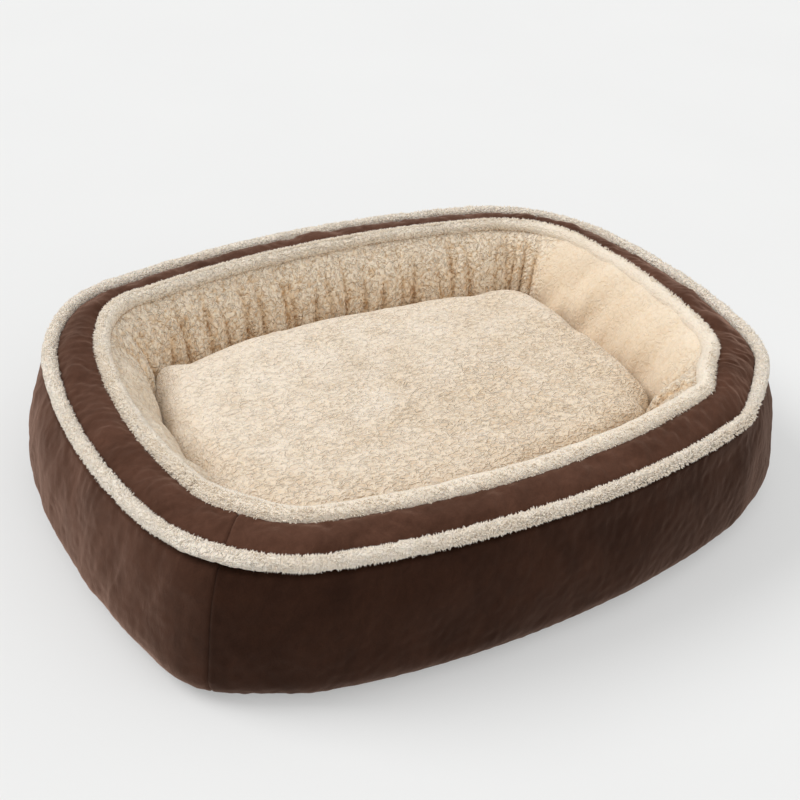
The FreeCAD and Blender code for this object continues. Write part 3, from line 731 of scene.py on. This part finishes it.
def tufts(name, roots, leads, lengths, radius, material, slot, seed):
    """Short bent spikes of fleece that make a trim's edge ragged, with painted shade towards their roots."""
    rng = np.random.default_rng(seed)
    count, sides = len(roots), 4
    leads = leads / np.linalg.norm(leads, axis=1, keepdims=True)
    across = np.cross(leads, rng.normal(size=(count, 3)))
    across /= np.linalg.norm(across, axis=1, keepdims=True)
    other = np.cross(leads, across)
    bend = across * rng.normal(0, 0.3, (count, 1)) + other * rng.normal(0, 0.3, (count, 1))
    bend = bend * lengths[:, None]
    levels = []
    for height, width, swing in ((-0.15, 1.0, 0.0), (0.5, 0.8, 0.35)):
        hub = roots + leads * (height * lengths)[:, None] + bend * swing
        for side in range(sides):
            turn = 2 * math.pi * side / sides
            spoke = across * math.cos(turn) + other * math.sin(turn)
            levels.append(hub + spoke * (radius * width)[:, None])
    levels.append(roots + leads * lengths[:, None] + bend)
    points = np.stack(levels, 1)
    start = np.arange(count)[:, None] * points.shape[1]
    here = np.arange(sides)
    after = (here + 1) % sides
    quads = np.stack([here, after, after + sides, here + sides], 1)
    tips = np.stack([here + sides, after + sides, np.full(sides, 2 * sides)], 1)
    faces = [(start[..., None] + quads).reshape(-1, 4), (start[..., None] + tips).reshape(-1, 3)]
    shade = np.tile([0.8] * sides + [0.95] * sides + [1.0], count)
    straight = np.zeros(len(shade))
    piece = make_mesh(name, points.reshape(-1, 3), faces, material, pile=shade, curl=straight)
    return belongs(piece, "bed", slot)


def ring_tufts(name, ring, centre, radius, count, span, reach, thickness, material, slot, seed, weight):
    """Tufts rooted on a roll, denser where weight is higher; span is in degrees round the roll."""
    rng = np.random.default_rng(seed)
    column = rng.choice(ring.count, count, p=weight[:, 0] / weight.sum())
    turn = np.radians(rng.uniform(span[0], span[1], count))
    radius = np.broadcast_to(radius, (ring.count, 1))[column, 0]
    out, along = ring.axes(column)
    roots = ring.place(*centre)[column, 0] + out * (radius * np.cos(turn))[:, None]
    roots[:, 2] = centre[1] + radius * np.sin(turn)
    leads = out * np.cos(turn)[:, None] + UP * np.sin(turn)[:, None]
    leads = leads + along * rng.normal(0, 0.45, (count, 1)) + out * rng.normal(0, 0.2, (count, 1))
    lengths = rng.uniform(*reach, count)
    widths = rng.uniform(*thickness, count)
    return tufts(name, roots, leads, lengths, widths, material, slot, seed + 1)


def piping_cord():
    """A three-strand twisted cord inside the piping."""
    ring = Ring(0, 0.003)
    turn = np.linspace(0, 2 * math.pi, 18, endpoint=False)[None, :]
    twists = round(ring.length / 0.03)
    twist = 2 * math.pi * twists * (ring.s / ring.length)[:, None]
    radius = CORD_RADIUS * (0.9 + 0.12 * np.abs(np.cos(1.5 * (turn + twist / 3))))
    points = ring.place(radius * np.cos(turn), PIPING_CENTRE[1] + radius * np.sin(turn))
    cord = grid_piece("twisted_piping_cord", points, CORD, round_t=True)
    belongs(cord, "bed", "piping_cord", "outer_piping_cord")


def outer_piping():
    """A sherpa tube over the cord, ragged at its tips."""
    step = 0.001
    ring = Ring(0, step)
    u, z = spaced(arc(PIPING_CENTRE, PIPING_ROLL, -90, 270, 73)[:-1], step, closed=True)
    shape, cell = (ring.count, len(u)), (ring.cell, step)
    height = curls(shape, cell, 0.0056, 41)
    body = 0.0003 * soft_noise(shape, cell, 0.02, 44)
    fuller = 1 + 0.2 * ring.near(113, 34)
    high = PIPING_CENTRE[1]
    points = ring.place(u[None, :] * fuller, high + (z - high)[None, :] * fuller)
    points = raised(points, body + 0.0013 * (height - 0.4), round_t=True)
    piping = grid_piece("sherpa_piping", points, PIPING_PILE, round_t=True,
                        pile=0.5 + 0.5 * height, curl=np.full(shape, 0.75))
    belongs(piping, "bed", "sherpa_cream", "outer_piping_cover")
    ring_tufts("piping_tufts", ring, PIPING_CENTRE, PIPING_ROLL, 12000, (-75, 235), (0.0013, 0.003),
               TUFT_THICKNESS, PIPING_PILE, "sherpa_cream", 45, 0.35 + ring.near(225, 110))


def lip_size(ring):
    """The lip's thickness round the ring: full at the near left, slim at the far left and back."""
    near = 1 + 0.2 * ring.near(222, 36) + 0.04 * ring.near(285, 40)
    return near - 0.2 * ring.near(158, 42) - 0.24 * ring.near(70, 65)


def inner_lip():
    """A plush roll over the inner edge, smooth at the near side and nubby at the far side."""
    step = 0.001
    ring = Ring(LIP_CENTRE[0], step)
    u, z = spaced(arc(LIP_CENTRE, LIP_RADIUS, -25, 245, 60), step)
    shape, cell = (ring.count, len(u)), (ring.cell, step)
    round_it = np.linspace(0, 1, len(u))[None, :]
    nubby = np.clip(0.35 + ring.near(95, 110) + 0.5 * ring.near(180, 50) - 0.3 * ring.near(0, 40), 0.2, 1)
    nubby = nubby * (0.45 + 0.55 * smooth((0.55 - round_it) / 0.3) + 0.5 * ring.near(90, 70))
    height = curls(shape, cell, 0.0058, 51)
    body = 0.0003 * soft_noise(shape, cell, 0.03, 54)
    tight = puckers(ring, 1 - round_it, scattered(ring, 0.013, 55), 0.0014, 0.0028)
    tight = tight * (0.1 + ring.near(180, 60) + 0.4 * ring.near(90, 60))
    size = lip_size(ring)
    middle, high = LIP_CENTRE
    points = ring.place(middle + (u - middle) * size, high + (z - high) * size)
    points = raised(points, body + tight + 0.0013 * nubby * (height - 0.5))
    shade = 0.92 + (0.45 + 0.55 * height - 0.92) * nubby
    lip = grid_piece("plush_lip", points, PLUSH, pile=shade, curl=np.broadcast_to(0.25 + 0.6 * nubby, shape))
    belongs(lip, "bed", "plush_cream", "inner_lip")
    weight = 0.25 + ring.near(100, 90) + 0.6 * ring.near(200, 60)
    ring_tufts("lip_tufts", ring, LIP_CENTRE, LIP_RADIUS * size, 11000, (-15, 95), (0.0014, 0.0033),
               TUFT_THICKNESS, PLUSH, "plush_cream", 56, weight)


def lip_stitches():
    """A row of short stitches along the crease under the lip."""
    ring = Ring(LINING_TOP[0], 0.0045)
    length, radius, sides = 0.0026, 0.00045, 6
    crease = math.radians(201)
    reach = LIP_RADIUS * lip_size(ring) + 0.0002
    middle, high = LIP_CENTRE
    hubs = ring.place(middle + reach * math.cos(crease), high + reach * math.sin(crease))[:, 0]
    out, along = ring.axes(np.arange(ring.count))
    turn = np.linspace(0, 2 * math.pi, sides, endpoint=False)
    spoke = out[:, None, :] * np.cos(turn)[None, :, None] + UP * np.sin(turn)[None, :, None]
    rows = []
    for step, width in ((-1, 0.3), (-0.6, 1), (0.6, 1), (1, 0.3)):
        centre = hubs + along * step * length / 2
        rows.append(centre[:, None, :] + spoke * radius * width)
    points = np.stack(rows, 1).reshape(-1, 3)
    one = grid_faces(len(rows), sides, False, True)
    faces = (np.arange(ring.count)[:, None, None] * len(rows) * sides + one).reshape(-1, 4)
    stitches = make_mesh("lip_stitches", points, faces, THREAD)
    belongs(stitches, "bed", "binding_tape")


def gathers(ring, down, spacing, depth, seed):
    """Rounded lobes between V-shaped valleys that deepen downwards; down runs from 0 at the lip to 1."""
    rng = np.random.default_rng(seed)
    at = ring.scatter(spacing, 0.32, rng)
    strength = rng.uniform(0.3, 1.0, len(at))
    lean = rng.normal(0, 0.008, len(at))
    top = rng.uniform(0.0, 0.35, len(at))
    total = np.zeros((ring.count, down.shape[1]))
    for place, deep, slope, start in zip(at, strength, lean, top):
        valley = np.exp(-np.abs(ring.gap(place, slope * down)) / (0.2 * spacing))
        total -= deep * valley * smooth((down - start + 0.12) / 0.35)
    return depth * total


def corner_folds(ring, down):
    """Sharp folds where the panels meet at the well's corners."""
    total = np.zeros((ring.count, down.shape[1]))
    for degrees, deep, lean in ((36, 0.8, 0.012), (45, 1.0, 0.002), (53, 0.9, -0.006), (63, 0.6, 0.004),
                                (132, 1.0, 0.004), (146, 0.7, -0.008), (222, 0.6, 0.0), (320, 0.7, 0.0)):
        gap = ring.gap(ring.s[ring.column(degrees)], lean * down)
        total -= deep * np.exp(-np.abs(gap) / 0.0026)
    return 0.0065 * total * smooth(down / 0.3)


LINING_ROWS = 132


def lining_profile(top):
    """The lining's cross-section from its top edge down to its foot."""
    line = vertical_arc(LINING_BULGE, top)[::-1] + vertical_arc(LINING_BULGE, LINING_FOOT)[1:]
    return evened(line, LINING_ROWS)


def linings():
    """Four sherpa panels down the well's sides, gathered at the back and brushed smooth at the right."""
    step = 0.00105
    ring = Ring(-0.08, step)
    u, z = lining_profile(LINING_TOP)
    side_u, side_z = lining_profile(LINING_TOP_RIGHT)
    merged = ring.near(2, 50)
    down = np.linspace(0, 1, len(u))[None, :]
    shape, cell = (ring.count, len(u)), (ring.cell, step)
    back = np.clip(ring.near(95, 62) + ring.near(270, 60), 0, 1)
    brushed = np.clip(1.3 * ring.near(355, 58) + 0.6 * ring.near(185, 40), 0, 1)
    height = curls(shape, cell, 0.0088, 61, 1.35, 0.9)
    pleats = gathers(ring, down, 0.021, 0.0078, 64) * (0.1 + 0.9 * back)
    folds = 0.0018 * band_noise(shape, cell, 0.05, 65, 0.5, 2.6, 1.25)
    folds = folds * (1 - 0.6 * back) * smooth(down / 0.15)
    sharp = corner_folds(ring, down)
    crease = -0.0012 * np.exp(-down / 0.03) * (1 - merged)
    nubs = 0.0015 * (1 - 0.8 * brushed) * (height - 0.75)
    points = ring.place(u + (side_u - u) * merged, z + (side_z - z) * merged)
    points = raised(points, pleats + folds + sharp + crease + nubs)
    valley = np.clip(-(pleats + sharp) / 0.0055, 0, 1)
    shade = 0.85 + (height - 0.85) * (0.9 - 0.65 * brushed)
    shade = 0.1 + shade - 0.5 * valley - 0.1 * smooth((down - 0.15) / 0.4) * back
    shade = shade - 0.12 * merged * smooth((down - 0.03) / 0.2)
    curl = np.clip(1 - 0.75 * brushed + 0.6 * ring.near(40, 30) * smooth((down - 0.3) / 0.2), 0, 1)
    curl = np.broadcast_to(curl, shape)
    for name, first, last in ring.quarters():
        lining = panel("sherpa_lining_" + name, points, ring.span(first, last), SHERPA, pile=shade, curl=curl)
        belongs(lining, "bed", "sherpa_cream", "lining_" + name)


def bolster_padding():
    """Four bags of loose fibre that fill the rim, clear of every cover."""
    step = 0.006
    ring = Ring(-0.035, step)
    gap = 0.011
    outer, inner, foot = WALL_BULGE[0] - gap, LINING_BULGE[0] + gap * 1.6, LINING_FOOT[0] + gap
    outline = [(WALL_FOOT[0] - gap, 0.007), (outer, WALL_BULGE[1] - 0.008), (outer, 0.05),
               (WALL_TOP[0] - gap, WALL_TOP[1] - gap), (BAND_OUTER[0] - gap, BAND_OUTER[1] - gap * 1.3)]
    outline += arc((LIP_CENTRE[0], LIP_CENTRE[1] - 0.011), 0.003, 60, 190, 6)
    outline += [(inner, LINING_BULGE[1] + 0.02), (inner, 0.04), (foot, LINING_FOOT[1]), (foot, 0.007)]
    u, z = spaced(outline, step, closed=True)
    for _ in range(2):
        u = (np.roll(u, 1) + 2 * u + np.roll(u, -1)) / 4
        z = (np.roll(z, 1) + 2 * z + np.roll(z, -1)) / 4
    lumps = 0.0016 * soft_noise((ring.count, len(u)), (ring.cell, step), 0.03, 71)
    points = raised(ring.place(u, z), lumps, round_t=True)
    for name, first, last in ring.quarters():
        columns = ring.span(first + 1, last - 1)
        faces = grid_faces(len(columns), len(u), False, True)
        part, faces = capped(points[columns].reshape(-1, 3), faces, len(columns), len(u))
        bag = make_mesh("fibre_bolster_" + name, part, faces, FIBRE)
        belongs(bag, "bed", "fibre_fill", "bolster_fill_" + name)


# ---------------------------------------------------------------- cushion

CUSHION_EDGE = 0.0145
CUSHION_CROWN = 0.003


def cushion_form(inset, step):
    """Points and faces of the closed, rounded, crowned cushion, drawn in by inset."""
    ring = Ring(CUSHION_U, step)
    edge = CUSHION_EDGE - inset
    low, high = CUSHION_BOTTOM + inset, CUSHION_TOP - inset - CUSHION_CROWN
    middle = -inset - edge
    profile = arc((middle, low + edge), edge, -90, 0, 8) + arc((middle, high - edge), edge, 0, 90, 8)
    u, z = np.array(profile).T
    squeezed = 0.005 * ring.near(128, 30) - 0.004 * ring.near(8, 40)
    rim = ring.place(CUSHION_U + u + squeezed, z)
    rings = [rim[:, i] for i in range(len(u))]
    for share in np.linspace(1, 0, 16)[1:-1]:
        flat = rim[:, -1, :2] * share
        crown = np.full((ring.count, 1), high + CUSHION_CROWN * (1 - share ** 2))
        rings.append(np.concatenate([flat, crown], 1))
        rings.insert(0, np.concatenate([rim[:, 0, :2] * share, np.full((ring.count, 1), low)], 1))
    grid = np.stack(rings, 1)
    columns, rows = grid.shape[:2]
    points = np.concatenate([grid.reshape(-1, 3), [(0, 0, low), (0, 0, high + CUSHION_CROWN)]])
    faces = [grid_faces(columns, rows, True, False)]
    here = np.arange(columns) * rows
    after = np.roll(here, -1)
    faces.append(np.stack([after, here, np.full(columns, len(points) - 2)], 1))
    faces.append(np.stack([here + rows - 1, after + rows - 1, np.full(columns, len(points) - 1)], 1))
    return points, faces


def freeze(piece):
    """Applies a piece's modifiers."""
    graph = bpy.context.evaluated_depsgraph_get()
    mesh = bpy.data.meshes.new_from_object(piece.evaluated_get(graph))
    piece.modifiers.clear()
    piece.data = mesh


def modified(piece, kind, **settings):
    """Applies one modifier to a piece."""
    modifier = piece.modifiers.new(kind.lower(), kind)
    for key, value in settings.items():
        setattr(modifier, key, value)
    freeze(piece)


def coordinates(piece):
    co = np.empty(len(piece.data.vertices) * 3, np.float32)
    piece.data.vertices.foreach_get("co", co)
    return co.reshape(-1, 3).astype(float)


def inflated(piece, voxel, pressure, cap, frames=20):
    """Where a closed piece's points lie once cloth pressure swells it, none moved further than cap."""
    modified(piece, "REMESH", mode="VOXEL", voxel_size=voxel)
    before = coordinates(piece)
    cloth = piece.modifiers.new("cloth", "CLOTH")
    settings = cloth.settings
    settings.quality = 6
    settings.mass = 0.25
    settings.tension_stiffness = 12
    settings.compression_stiffness = 12
    settings.bending_stiffness = 1.5
    settings.shrink_min = -0.02
    settings.use_pressure = True
    settings.uniform_pressure_force = pressure
    settings.effector_weights.gravity = 0
    cloth.point_cache.frame_start = 1
    cloth.point_cache.frame_end = frames
    scene = bpy.context.scene
    scene.frame_start, scene.frame_end = 1, frames
    for step in range(1, frames + 1):
        scene.frame_set(step)
    freeze(piece)
    scene.frame_set(1)
    moved = coordinates(piece) - before
    reach = np.linalg.norm(moved, axis=1, keepdims=True)
    return before + moved * np.minimum(1, cap / np.maximum(reach, 1e-9))


def put(piece, points):
    piece.data.vertices.foreach_set("co", np.ascontiguousarray(points, np.float32).ravel())
    piece.data.update()


def plan_outwards(x, y):
    """The outward direction of the plan at each point."""
    ax, ay = np.abs(x), np.abs(y)
    corner = np.stack([ax - CORNER_X, ay - CORNER_Y], 1)
    long_side = np.stack([ax, ay - HALF_WIDTH + LONG_BOW_RADIUS], 1)
    short_side = np.stack([ax - HALF_LENGTH + SHORT_BOW_RADIUS, ay], 1)
    from_long = np.arctan2(long_side[:, 1], long_side[:, 0]) >= LONG_TURN
    from_short = np.arctan2(short_side[:, 1], short_side[:, 0]) <= SHORT_TURN
    from_corner = ~from_long & ~from_short
    spoke = np.where(from_corner[:, None], corner, np.where(from_long[:, None], long_side, short_side))
    reach = np.linalg.norm(spoke, axis=1, keepdims=True)
    return spoke / np.maximum(reach, 1e-9) * np.stack([np.sign(x), np.sign(y)], 1)


def part_of(piece, name, chosen, material, **layers):
    """A new piece from the chosen faces of another, with layers given for all its points."""
    mesh = piece.data
    corners = np.empty(len(mesh.loops), np.int32)
    mesh.loops.foreach_get("vertex_index", corners)
    faces = corners.reshape(-1, 4)[chosen]
    used, faces = np.unique(faces, return_inverse=True)
    faces = faces.reshape(-1, 4)
    kept = {layer: values[used] for layer, values in layers.items()}
    return make_mesh(name, coordinates(piece)[used], faces, material, **kept)


def cushion():
    """A crowned sherpa cushion, swelled by cloth pressure, then given its seam and its nubs."""
    draft = make_mesh("cushion_draft", *cushion_form(0.002, 0.006), CUSHION_PILE)
    points = inflated(draft, 0.0043, 3.0, 0.0045)
    points[:, 2] = np.maximum(points[:, 2], CUSHION_BOTTOM + 0.001)
    put(draft, points)
    modified(draft, "SMOOTH", factor=0.5, iterations=10)
    modified(draft, "SUBSURF", levels=2, render_levels=2)
    points = coordinates(draft)
    normal = np.empty(len(points) * 3, np.float32)
    draft.data.vertices.foreach_get("normal", normal)
    normal = normal.reshape(-1, 3)
    out = plan_outwards(points[:, 0], points[:, 1])
    x, y, z = points.T
    drop = np.maximum(CUSHION_TOP - 0.02 - z, 0)
    flat_x, flat_y = x + out[:, 0] * drop, y + out[:, 1] * drop
    cell = 0.001
    lean = math.radians(40)
    tile_nubs = curls((720, 720), (cell, cell), 0.0082, 81, 1.7, lean)
    tile_soft = soft_noise((720, 720), (cell, cell), 0.09, 85)
    tile_worn = soft_noise((720, 720), (cell, cell), 0.045, 86)
    height = sample(tile_nubs, cell, flat_x, flat_y)
    warm = smooth(0.45 + 1.9 * (0.5 * x - 0.85 * y) + 0.1 * sample(tile_worn, cell, x, y))
    curly = 0.55 + 0.45 * warm
    seam = 0.002 * np.exp(-np.abs(z - CUSHION_SEAM_Z) / 0.0022)
    shift = 0.0012 * curly * (height - 0.8) + 0.0004 * sample(tile_soft, cell, flat_x, flat_y) - seam
    fuller = np.exp(-((x + 0.11) / 0.09) ** 2 - ((y - 0.11) / 0.05) ** 2)
    fuller = fuller * smooth((z - CUSHION_SEAM_Z) / 0.02)
    points = points + normal * shift[:, None]
    points[:, 2] += 0.006 * fuller
    put(draft, points)
    centre_z = np.empty(len(draft.data.polygons) * 3, np.float32)
    draft.data.polygons.foreach_get("center", centre_z)
    upper = centre_z.reshape(-1, 3)[:, 2] > CUSHION_SEAM_Z
    shade = 0.98 + 0.25 * (height - 0.98) * curly - 0.3 * warm
    for name, chosen, node in (("sherpa_cushion_top", upper, "cushion_cover_top"),
                               ("sherpa_cushion_bottom", ~upper, "cushion_cover_bottom")):
        cover = part_of(draft, name, chosen, CUSHION_PILE, pile=shade, curl=curly)
        belongs(cover, "cushion", "cushion_sherpa", node)
    bpy.data.objects.remove(draft)


def cushion_padding():
    """The cushion's loose fibre, clear of its cover."""
    bag = make_mesh("fibre_cushion", *cushion_form(0.012, 0.01), FIBRE)
    belongs(bag, "cushion", "fibre_fill", "cushion_fill")


side_walls()
top_bands()
base_binding()
base_and_deck()
piping_cord()
outer_piping()
inner_lip()
lip_stitches()
linings()
bolster_padding()
cushion_padding()
cushion()


# ---------------------------------------------------------------- floor, light and camera

FLOOR_GLOW = 0.325
FLOOR_HALF = 6.0


def studio_floor():
    """A pale floor, lit a little from within like a light table, so that shadows on it stay soft."""
    half = FLOOR_HALF
    corners = np.array([(-half, -half, 0), (half, -half, 0), (half, half, 0), (-half, half, 0)], float)
    material, tree, bsdf = shader("floor", 0.9, specular=0.0)
    speck = noise_at(tree, 3, 2)
    colour = ramp(tree, speck, (0.3, (0.495, 0.497, 0.495)), (0.7, (0.505, 0.507, 0.505)))
    tree.links.new(colour, bsdf.inputs["Base Color"])
    bsdf.inputs["Emission Color"].default_value = (1.0, 1.0, 0.99, 1)
    bsdf.inputs["Emission Strength"].default_value = FLOOR_GLOW
    floor = make_mesh("studio_floor", corners, np.array([[0, 1, 2, 3]]), material)


WORLD_LIGHT = 0.37
SUNS = (("key", (-0.55, 0.47, 0.72), 1.7, 32), ("overhead", (0.2, -0.5, 1.0), 1.3, 100))


def studio_light():
    """A soft light from the back left, a very broad one from overhead, and an even pale surround."""
    world = bpy.data.worlds.new("studio")
    world.use_nodes = True
    world.node_tree.nodes["Background"].inputs["Color"].default_value = (0.995, 1.0, 1.0, 1)
    world.node_tree.nodes["Background"].inputs["Strength"].default_value = WORLD_LIGHT
    bpy.context.scene.world = world
    for name, towards, energy, spread in SUNS:
        sun = bpy.data.lights.new(name, "SUN")
        sun.energy = energy
        sun.angle = math.radians(spread)
        lamp = bpy.data.objects.new(name, sun)
        lamp.rotation_euler = Vector(towards).to_track_quat("Z", "Y").to_euler()
        bpy.context.scene.collection.objects.link(lamp)
    view = bpy.context.scene.view_settings
    view.view_transform = "Standard"
    view.look = "None"
    view.exposure = 0.0
    view.gamma = 1.0


def studio_camera():
    """The camera at the viewing angle, turned a little about its own axis."""
    azimuth, elevation, roll = (math.radians(a) for a in (-32.668, 35.037, 4.5026))
    distance, aside, above = 1.21995, -0.00986, 0.05654
    back = Vector((math.sin(azimuth) * math.cos(elevation), -math.cos(azimuth) * math.cos(elevation),
                   math.sin(elevation)))
    right = Vector((math.cos(azimuth), math.sin(azimuth), 0))
    up = back.cross(right)
    place = right * aside + up * above + back * distance
    turned_right = right * math.cos(roll) + up * math.sin(roll)
    turned_up = up * math.cos(roll) - right * math.sin(roll)
    data = bpy.data.cameras.new("camera")
    data.sensor_width = 36.0
    data.lens = 53.670555
    data.clip_end = 50
    camera = bpy.data.objects.new("camera", data)
    axes = Matrix((turned_right, turned_up, back)).transposed()
    camera.matrix_world = Matrix.Translation(place) @ axes.to_4x4()
    bpy.context.scene.collection.objects.link(camera)
    bpy.context.scene.camera = camera


studio_floor()
studio_light()
studio_camera()
